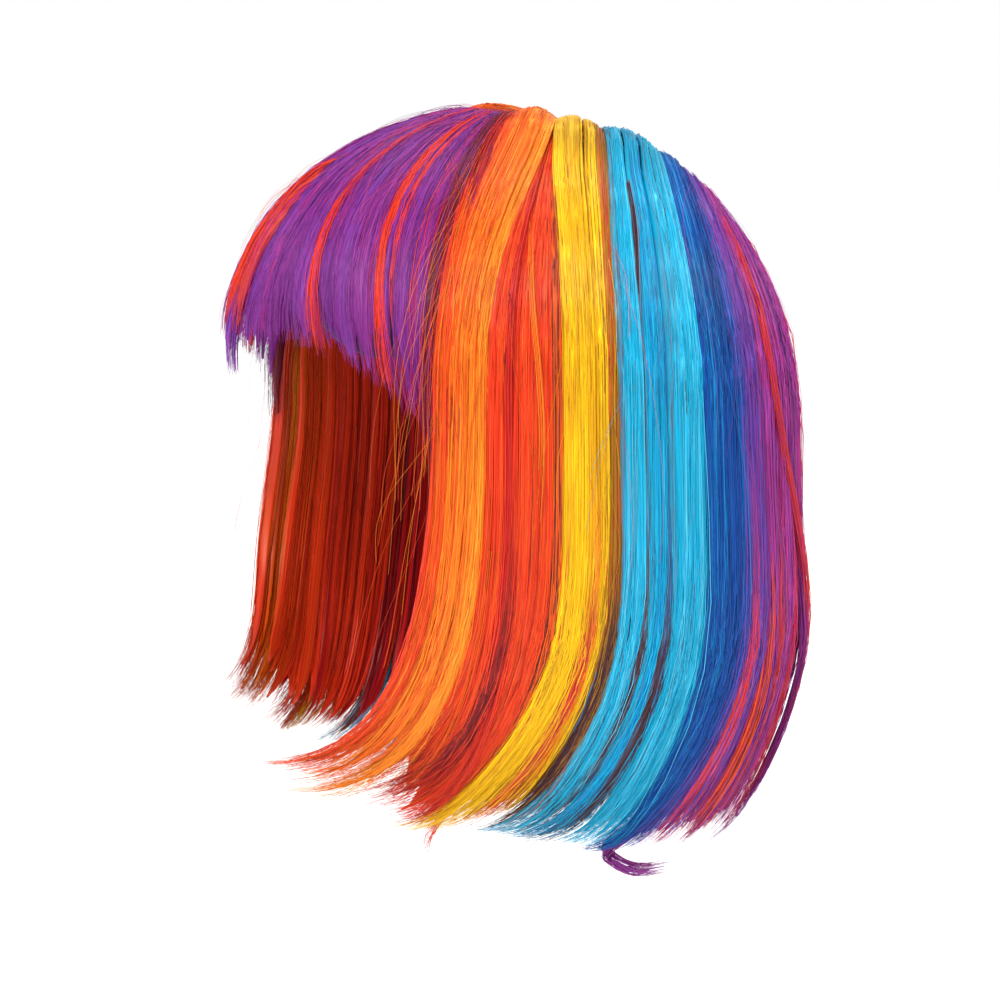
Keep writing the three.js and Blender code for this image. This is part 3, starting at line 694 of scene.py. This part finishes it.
def add_fibres(build, section, layer, locks, flow, side, tones, first, rng, starts=None):
    """Fibres on the locks. Crown fibres, given no starts, begin at the parting and end under others; the rest
    run out past the locks' tips."""
    crown = starts is None
    count = round(section["crown" if crown else "fibres"] * (FAR_SHARE if side < 0 else 1.0))
    lock = np.sort(rng.choice(len(locks["half"]), count, p=locks["half"] / locks["half"].sum()))
    reach = locks["reach"][lock]
    x = rng.uniform(-1.0, 1.0, count)[:, None]
    place = stations(rng, count, CROWN_PLACES if crown else TIP_PLACES)
    loose = rng.uniform(size=count) < LOOSE_SHARE
    inner = rng.uniform(size=count) < (0.0 if crown else layer["inner"])
    end_sink = END_SINK["depth"] * ease(place, *END_SINK["places"])
    if crown:
        start, end = np.zeros(count), rng.uniform(*CROWN_ENDS, count)
        sunk = end_sink
    else:
        start = layer["start"] + rng.uniform(*starts, count)
        end = reach * np.minimum(1.0 + rng.normal(0.0, TIP_ENDS["spread"], count), TIP_ENDS["longest"])
        short = rng.uniform(size=count) < SHORT_SHARE
        end = end - np.where(short, rng.uniform(*TIP_ENDS["shorter"], count), 0.0)
        start_sink = START_SINK["depth"] * (1.0 - ease(place, *START_SINK["places"]))
        sunk = start_sink + np.where(short[:, None], end_sink, 0.0)
    along = mix(start[:, None], end[:, None], place)
    hang, edge, bulge = lock_lines(section, layer, locks, lock, x, along, FIBRE_POINT)
    phase = rng.uniform(0.0, 2.0 * np.pi, count)[:, None]
    beat = rng.uniform(*FIBRE_BEATS, count)[:, None]
    drift = np.where(loose, DRIFT["loose"], DRIFT["other"])[:, None] * rng.normal(0.0, 1.0, count)[:, None]
    wild = ease(along / reach[:, None], *WILD["places"])
    hang = hang + FIBRE_WAVE * np.sin(phase + beat * along) + drift * (along - start[:, None])
    hang = hang + rng.normal(0.0, WILD["degrees"], count)[:, None] * wild
    loose_rise, other_rise = rng.uniform(*RISE["loose"], count), rng.uniform(*RISE["other"], count)
    rise = np.where(loose, loose_rise, other_rise)[:, None] * ease(along, *RISE["starts"]) - sunk
    round_lock = np.sqrt(1.0 - x * x)
    inside, outside = edge - layer["belly"] * round_lock - rise, edge + bulge * round_lock + rise
    depth = np.where(inner[:, None], inside, outside)
    depth = depth + rng.normal(0.0, WILD["depth"], count)[:, None] * wild
    paths = flow(side, hang, along, depth)
    radius = FIBRE_RADIUS * rng.uniform(*FIBRE_RADIUS_RANGE, count)[:, None] * fibre_taper(place)
    look = fibre_look(rng, section, first, tones, locks, lock, locks["band"][lock], along)
    add_strands(build, paths, radius, along, *look, rng)


def fibre_taper(place):
    return mix(1.0, FIBRE_TIP, ease(place, *FIBRE_TIP_PLACES))


def add_strays(build, section, layer, locks, flow, side, tones, first, rng, count, drift, front):
    """Thin hairs that leave the surface and lie across it, or hang off the front edge."""
    lock = rng.integers(0, FUZZ_LOCKS if front else len(locks["half"]), count)
    place = stations(rng, count, CROWN_PLACES)
    start = layer["start"] + rng.uniform(*STRAY_STARTS, count)[:, None]
    along = np.minimum(start + rng.uniform(*STRAY_LENGTHS, count)[:, None] * place, 1.0)
    hang, edge, bulge = lock_lines(section, layer, locks, lock, np.zeros((count, 1)), along, 1.0)
    hang = hang + rng.normal(*drift, count)[:, None] * place * (2.0 - place)
    phase = rng.uniform(*STRAY_WAVE["phases"], count)[:, None]
    beat = rng.uniform(*STRAY_WAVE["beats"], count)[:, None]
    hang = hang + STRAY_WAVE["degrees"] * np.sin(phase + beat * place)
    arch = rng.uniform(*STRAY_ARCH, count)[:, None] * np.sin(np.pi * place)
    depth = edge + bulge + STRAY_CLEAR + arch
    paths = flow(side, hang, along, depth)
    radius = np.full(along.shape, STRAY_RADIUS)
    band = rng.integers(0, len(section["bands"]), count)
    look = fibre_look(rng, section, first, tones, locks, lock, band, along)
    add_strands(build, paths, radius, along, *look, rng)


def add_wisp(build, wisp, flow, rng):
    """One gathered wisp of fibres along its own rows."""
    count = wisp["fibres"]
    place = stations(rng, count, CROWN_PLACES) * rng.uniform(*WISP_ENDS, count)[:, None]
    row = read_table(WISP_COLUMNS, np.array(wisp["rows"], float), place)
    spine = flow(1.0, row["hang"], row["along"], row["depth"])
    spine[..., 2] -= row["drop"]
    lateral, proud = side_axes(spine)
    turn = rng.uniform(0.0, 2.0 * np.pi, count)[:, None, None]
    reach = wisp["radius"] * np.sqrt(rng.uniform(0.0, 1.0, count))[:, None]
    reach = reach * mix(1.0, wisp["spread"], place**2)
    paths = spine + reach[..., None] * (np.cos(turn) * lateral + np.sin(turn) * proud)
    tones, _ = make_tones(rng, wisp["colours"])
    tone = rng.integers(0, len(tones), count)
    colour = np.repeat(tones[tone][:, None, :], place.shape[1], axis=1)
    radius = FIBRE_RADIUS * fibre_taper(place)
    column = LOCK_MAP + FIBRE_MAP * tone / len(tones)
    add_strands(build, paths, radius, row["along"], colour, column, WISP_MAP_WIDTH, rng)


def hair_piece(section, layer, flow, side, rng):
    build = Build()
    locks = make_locks(rng, section, layer)
    tones, first = make_tones(rng, sorted({name for band in section["bands"] for name in band[1:3]}))
    parts = (section, layer, locks, flow, side, tones, first, rng)
    add_locks(build, *parts)
    if "crown" in section:
        add_fibres(build, *parts)
        add_fibres(build, *parts, SIDE_STARTS)
    else:
        add_fibres(build, *parts, OTHER_STARTS)
    add_strays(build, *parts, STRAY_COUNTS["near" if side > 0 else "far"], STRAY_DRIFT, False)
    if "fuzz" in section:
        fuzz = section["fuzz"] if side > 0 else section["fuzz"] // FUZZ_FAR_PART
        add_strays(build, *parts, fuzz, FUZZ_DRIFT, True)
    return build


# The cap: an open knitted shell with rows of stitching inside and a rolled hem, in shares of the way down

CAP_AROUND = 72
CAP_TRACKS = 7
CAP_TRACK_DEPTH = 0.7
CAP_TRACK_POWER = 6
CAP_TOP = 0.004
CAP_EDGE = 0.99
CAP_INSIDE_RINGS = 44
CAP_OUTSIDE_RINGS = 52
CAP_HEM = (0.955, 0.97)
CAP_ROLL_ANGLES = (-60.0, -30.0, 0.0, 30.0, 60.0)
CAP_GIRTH_MM = 540.0
CAP_HEIGHT_MM = 150.0


def cap_ring(share, grow):
    """One ring of the cap, at a share of the way from crown to rim, grown outward by so much."""
    turn = np.linspace(0.0, 360.0, CAP_AROUND, endpoint=False)
    rim = read_table(CAP_COLUMNS, CAP_RIM, np.where(turn > 180.0, 360.0 - turn, turn))["rim"]
    polar = np.arccos((rim + CAP["height"]) / CAP["height"]) * share
    return np.stack([
        (CAP["half_width"] + grow) * np.sin(polar) * np.sin(np.radians(turn)),
        CAP["back"] - (CAP["half_length"] + grow) * np.sin(polar) * np.cos(np.radians(turn)),
        (CAP["height"] + grow) * np.cos(polar) - CAP["height"],
    ], axis=-1)


def make_cap():
    inside = np.linspace(CAP_TOP, CAP_EDGE, CAP_INSIDE_RINGS)
    outside = np.linspace(CAP_EDGE, CAP_TOP, CAP_OUTSIDE_RINGS)
    track = np.maximum(np.cos(2.0 * np.pi * CAP_TRACKS * inside), 0.0) ** CAP_TRACK_POWER
    hem = ease(inside, *CAP_HEM)
    rings = [cap_ring(s, -CAP_TRACK_DEPTH * max(t, h)) for s, t, h in zip(inside, track, hem)]
    middle = 0.5 * CAP["wall"] - 0.5 * CAP_TRACK_DEPTH
    half = 0.5 * CAP["wall"] + 0.5 * CAP_TRACK_DEPTH
    for angle in np.radians(CAP_ROLL_ANGLES):
        rings.append(cap_ring(CAP_EDGE + (1.0 - CAP_EDGE) * math.cos(angle), middle + half * math.sin(angle)))
    rings += [cap_ring(s, CAP["wall"]) for s in outside]
    points = np.array(rings)[None]
    around = np.linspace(0.0, CAP_GIRTH_MM, CAP_AROUND, endpoint=False)[None, None, :]
    roll = np.full(len(CAP_ROLL_ANGLES), 1.0)
    down = np.concatenate([inside, roll, outside])[None, :, None] * CAP_HEIGHT_MM
    comb = np.stack(np.broadcast_arrays(around, down, 0.0), axis=-1)
    cloth = linear(COLOURS["cap_cloth"])
    build = Build()
    build.add_tubes(points, np.zeros_like(points), cloth, cloth, comb, np.zeros(1), 1.0)
    mesh = build.mesh("cap_knit")
    mesh.materials.append(cap_material())
    finish_piece(bpy.data.objects.new("cap_knit", mesh), "cap")


# Materials

def put_node(tree, kind, links=(), **values):
    """A node with its input values set, and its inputs linked from other nodes' outputs."""
    node = tree.nodes.new(kind)
    for name, value in values.items():
        node.inputs[name].default_value = value
    for name, output in links:
        tree.links.new(output, node.inputs[name])
    return node


def put_attribute(tree, name):
    node = tree.nodes.new("ShaderNodeAttribute")
    node.attribute_name = name
    return node


def put_range(tree, value, low, high, to_low, to_high):
    node = put_node(tree, "ShaderNodeMapRange", [("Value", value)])
    for name, number in (("From Min", low), ("From Max", high), ("To Min", to_low), ("To Max", to_high)):
        node.inputs[name].default_value = number
    return node.outputs["Result"]


def put_streaks(tree, comb, across, along, detail):
    """Noise drawn out along the hair: so many turns per millimetre across it and along it."""
    mapping = put_node(tree, "ShaderNodeMapping", [("Vector", comb)], Scale=(across, along, 1.0))
    place = mapping.outputs["Vector"]
    noise = put_node(tree, "ShaderNodeTexNoise", [("Vector", place)], Scale=1.0, Detail=detail)
    return noise.outputs["Fac"]


def put_mix(tree, kind, factor, a, b):
    node = tree.nodes.new("ShaderNodeMix")
    node.data_type = "RGBA"
    node.blend_type = kind
    if isinstance(factor, float):
        node.inputs["Factor"].default_value = factor
    else:
        tree.links.new(factor, node.inputs["Factor"])
    tree.links.new(a, node.inputs["A"])
    tree.links.new(b, node.inputs["B"])
    return node.outputs["Result"]


def new_material(name):
    material = bpy.data.materials.new(name)
    material.use_nodes = True
    return material, material.node_tree, material.node_tree.nodes["Principled BSDF"]


def hair_material(name):
    """Glossy synthetic fibre: streaks of two colours along the hair and fine strands."""
    material, tree, shader = new_material(name)
    shader.inputs["Specular IOR Level"].default_value = 0.28
    shader.inputs["Anisotropic"].default_value = 0.45
    comb = put_attribute(tree, "comb").outputs["Vector"]
    main = put_attribute(tree, "fibre_colour").outputs["Color"]
    streak = put_attribute(tree, "streak_colour").outputs["Color"]
    broad = put_streaks(tree, comb, 0.55, 0.006, 3.0)
    fine = put_streaks(tree, comb, 3.2, 0.012, 2.0)
    colour = put_mix(tree, "MIX", put_range(tree, broad, 0.48, 0.66, 0.0, 1.0), main, streak)
    colour = put_mix(tree, "MULTIPLY", 1.0, colour, put_range(tree, fine, 0.32, 0.68, 0.66, 1.2))
    tree.links.new(colour, shader.inputs["Base Color"])
    tree.links.new(put_range(tree, broad, 0.35, 0.65, 0.3, 0.44), shader.inputs["Roughness"])
    bump = put_node(tree, "ShaderNodeBump", [("Height", fine)], Strength=0.5, Distance=0.0005)
    tree.links.new(bump.outputs["Normal"], shader.inputs["Normal"])
    tangent = tree.nodes.new("ShaderNodeTangent")
    tangent.direction_type = "UV_MAP"
    tangent.uv_map = "OFBake"
    tree.links.new(tangent.outputs["Tangent"], shader.inputs["Tangent"])
    return material


def cap_material():
    """Fine stretch knit: rows of loops that darken and roughen the cloth."""
    material, tree, shader = new_material("cap_cloth")
    shader.inputs["Specular IOR Level"].default_value = 0.25
    comb = put_attribute(tree, "comb").outputs["Vector"]
    colour = put_attribute(tree, "fibre_colour").outputs["Color"]
    rows = put_node(tree, "ShaderNodeTexWave", [("Vector", comb)], Scale=0.42, Distortion=0.6)
    rows.bands_direction = "Y"
    loops = put_node(tree, "ShaderNodeTexWave", [("Vector", comb)], Scale=0.3, Distortion=0.6)
    knit = put_mix(tree, "MULTIPLY", 1.0, rows.outputs["Color"], loops.outputs["Color"])
    shade = put_range(tree, knit, 0.0, 0.8, 0.55, 1.35)
    tree.links.new(put_mix(tree, "MULTIPLY", 1.0, colour, shade), shader.inputs["Base Color"])
    tree.links.new(put_range(tree, knit, 0.0, 1.0, 0.95, 0.75), shader.inputs["Roughness"])
    bump = put_node(tree, "ShaderNodeBump", [("Height", knit)], Strength=0.7, Distance=0.0006)
    tree.links.new(bump.outputs["Normal"], shader.inputs["Normal"])
    return material


# Pieces, each on the solid it replaces

HAIR_MATERIALS = {}
SEEDS = dict(fringe=100, top=200, under=400, side_step=50)


def finish_piece(piece, node):
    bpy.context.scene.collection.objects.link(piece)
    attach(piece, "root")
    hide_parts(node)


def finish_hair(build, node, slot):
    if slot not in HAIR_MATERIALS:
        HAIR_MATERIALS[slot] = hair_material(slot)
    mesh = build.mesh(node + "_hair")
    mesh.materials.append(HAIR_MATERIALS[slot])
    finish_piece(bpy.data.objects.new(node + "_hair", mesh), node)


def dress(node, section, layer, flow, side, rng):
    """Lay the hair of one node over its solid."""
    build = hair_piece(section, layer, flow, side, rng)
    for wisp in WISPS:
        if wisp["node"] == node:
            add_wisp(build, wisp, flow, rng)
    finish_hair(build, node, section["slot"])


def make_hair():
    for k, section in enumerate(FRINGE_SECTIONS):
        dress(section["name"], section, BANGS, fringe_point, 1.0, np.random.default_rng(SEEDS["fringe"] + k))
    for prefix, side in (("left", 1.0), ("right", -1.0)):
        side_seed = SEEDS["side_step"] * int(side)
        for k, section in enumerate(SECTIONS):
            rng = np.random.default_rng(SEEDS["top"] + side_seed + k)
            dress(prefix + "_" + section["name"], section, TOP, side_point, side, rng)
        for k, section in enumerate(UNDER_SECTIONS):
            rng = np.random.default_rng(SEEDS["under"] + side_seed + k)
            dress(prefix + "_" + section["name"], section, UNDER, side_point, side, rng)


# Camera, floor and light, in metres, degrees and watts

CAMERA = dict(azimuth=62.0, elevation=8.0, distance=1.6, sees=0.4, target=(0.0, 0.0, -0.144))
WHITE = (1.0, 1.0, 1.0, 1.0)
FLOOR = dict(size=400.0, below=0.12, colour=(0.9, 0.9, 0.9, 1.0), roughness=0.9, glow=0.32)
SKY = 0.75
LIGHT_TARGET = (0.0, 0.0, -0.12)
LIGHTS = [
    dict(name="key", place=(1.3, -1.1, 1.2), size=0.7, power=26.0),
    dict(name="top", place=(0.1, 0.2, 1.7), size=0.8, power=12.0),
    dict(name="fill", place=(-0.2, -1.7, 0.0), size=1.2, power=9.0),
    dict(name="rim", place=(0.9, 1.5, 0.7), size=0.8, power=13.0),
]


def aim(thing, target):
    direction = Vector(target) - thing.location
    thing.rotation_euler = direction.to_track_quat("-Z", "Y").to_euler()


def make_camera():
    azimuth, elevation = math.radians(CAMERA["azimuth"]), math.radians(CAMERA["elevation"])
    target = Vector(CAMERA["target"])
    data = bpy.data.cameras.new("camera")
    data.sensor_width = 36.0
    data.lens = data.sensor_width * CAMERA["distance"] / CAMERA["sees"]
    camera = bpy.data.objects.new("camera", data)
    bpy.context.scene.collection.objects.link(camera)
    camera.location = target + CAMERA["distance"] * Vector((
        math.sin(azimuth) * math.cos(elevation),
        -math.cos(azimuth) * math.cos(elevation),
        math.sin(elevation),
    ))
    aim(camera, target)
    bpy.context.scene.camera = camera


def make_light(name, place, size, power):
    data = bpy.data.lights.new(name, "AREA")
    data.shape = "DISK"
    data.size = size
    data.energy = power
    light = bpy.data.objects.new(name, data)
    bpy.context.scene.collection.objects.link(light)
    light.location = place
    aim(light, LIGHT_TARGET)


def make_stage():
    floor_z = cad_box[0][2] - FLOOR["below"]
    bpy.ops.mesh.primitive_plane_add(size=FLOOR["size"], location=(0.0, 0.0, floor_z))
    floor = bpy.context.object
    floor.name = "floor"
    material, _, shader = new_material("floor_pale")
    shader.inputs["Base Color"].default_value = FLOOR["colour"]
    shader.inputs["Roughness"].default_value = FLOOR["roughness"]
    shader.inputs["Emission Color"].default_value = WHITE
    shader.inputs["Emission Strength"].default_value = FLOOR["glow"]
    floor.data.materials.append(material)
    world = bpy.data.worlds.new("studio")
    world.use_nodes = True
    sky = world.node_tree.nodes["Background"]
    sky.inputs["Color"].default_value = WHITE
    sky.inputs["Strength"].default_value = SKY
    bpy.context.scene.world = world
    for light in LIGHTS:
        make_light(**light)


make_camera()
make_stage()
make_cap()
make_hair()
bpy.context.scene.view_settings.view_transform = "Standard"
